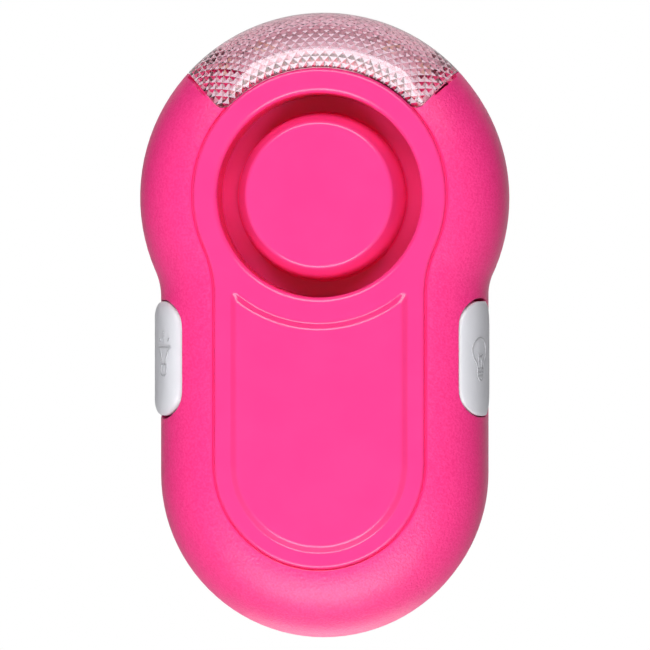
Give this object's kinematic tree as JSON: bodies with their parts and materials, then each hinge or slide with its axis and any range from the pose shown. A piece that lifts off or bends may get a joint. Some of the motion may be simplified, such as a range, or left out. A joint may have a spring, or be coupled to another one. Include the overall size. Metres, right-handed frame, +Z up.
{
  "type": "personal safety alarm",
  "caption": "Keyhole-shaped personal alarm with a round siren boss in a ring groove, a clear light cap over the head, a button on each side and a sprung clip on the back.",
  "frame": {"origin": "middle of the strap gap between the case and the clip lever", "axes": "+Z up the case towards the light, -Y out of the front face with the siren, +X to the right as seen from the front"},
  "size_m": [0.0472, 0.0339, 0.0799],
  "materials": {
    "pink_plastic": "spark-eroded satin",
    "clear_plastic": "clear, polished",
    "white_reflector": "white gloss",
    "white_board": "white solder mask",
    "phosphor": "yellow phosphor in clear resin",
    "gasket_rubber": "matte",
    "brass": "rolled",
    "piezo_ceramic": "silvered face",
    "grey_white_plastic": "satin",
    "green_board": "green solder mask",
    "black_plastic": "matte",
    "aluminium_can": "drawn",
    "ferrite": "sintered",
    "copper_wire": "enamelled copper",
    "ivory_plastic": "satin",
    "plated_steel": "zinc plated",
    "nickel_steel": "nickel plated",
    "cell_jacket": "printed film left plain",
    "spring_steel": "bright wire"
  },
  "bodies": {
    "case": {"front_shell": "pink_plastic", "rear_shell": "pink_plastic", "sounder_cap": "pink_plastic", "light_lens": "clear_plastic", "light_tray": "white_reflector", "led_board": "white_board", "led_lamps": "phosphor", "sounder_gasket": "gasket_rubber", "piezo_plate": "brass", "piezo_ceramic": "piezo_ceramic", "main_board": "green_board", "controller_chip": "black_plastic", "drive_transistor": "black_plastic", "capacitor": "aluminium_can", "coil_core": "ferrite", "coil_winding": "copper_wire", "alarm_switch": "black_plastic", "light_switch": "black_plastic", "board_screws": "plated_steel", "case_screws": "plated_steel", "battery_cells": "nickel_steel", "battery_jackets": "cell_jacket", "bridge_plate": "nickel_steel", "positive_plate": "nickel_steel", "negative_plate": "nickel_steel", "contact_springs": "nickel_steel", "clip_pin": "plated_steel", "clip_spring": "spring_steel"},
    "door": {"battery_door": "pink_plastic"},
    "clip": {"clip_lever": "pink_plastic"},
    "siren_push": {"alarm_button": "grey_white_plastic"},
    "light_push": {"light_button": "grey_white_plastic"},
    "siren_stem": {"alarm_stem": "ivory_plastic"},
    "lamp_stem": {"light_stem": "ivory_plastic"}
  },
  "joints": [
    {"name": "clip_hinge", "type": "hinge", "parent": "case", "child": "clip", "pos_m": [0, 0.0005, 0.02165], "axis": [1, 0, 0], "range_deg": [0, 14], "stiffness_Nm_per_rad": 0.06, "springref_deg": -20.05, "deforming": ["clip_spring"]},
    {"name": "door_slide", "type": "slide", "parent": "case", "child": "door", "axis": [0, 0, -1], "range_m": [0, 0.06]},
    {"name": "alarm_press", "type": "slide", "parent": "case", "child": "siren_push", "axis": [1, 0, 0], "range_m": [0, 0.00035], "stiffness_N_per_m": 300, "springref_m": -0.002},
    {"name": "light_press", "type": "slide", "parent": "case", "child": "light_push", "axis": [-1, 0, 0], "range_m": [0, 0.00035], "stiffness_N_per_m": 300, "springref_m": -0.002},
    {"name": "alarm_stem_slide", "type": "slide", "parent": "case", "child": "siren_stem", "axis": [1, 0, 0], "range_m": [0, 0.00035]},
    {"name": "light_stem_slide", "type": "slide", "parent": "case", "child": "lamp_stem", "axis": [-1, 0, 0], "range_m": [0, 0.00035]}
  ],
  "couplings": [
    {"joint": "alarm_stem_slide", "follows": "alarm_press", "ratio": 1},
    {"joint": "light_stem_slide", "follows": "light_press", "ratio": 1}
  ]
}
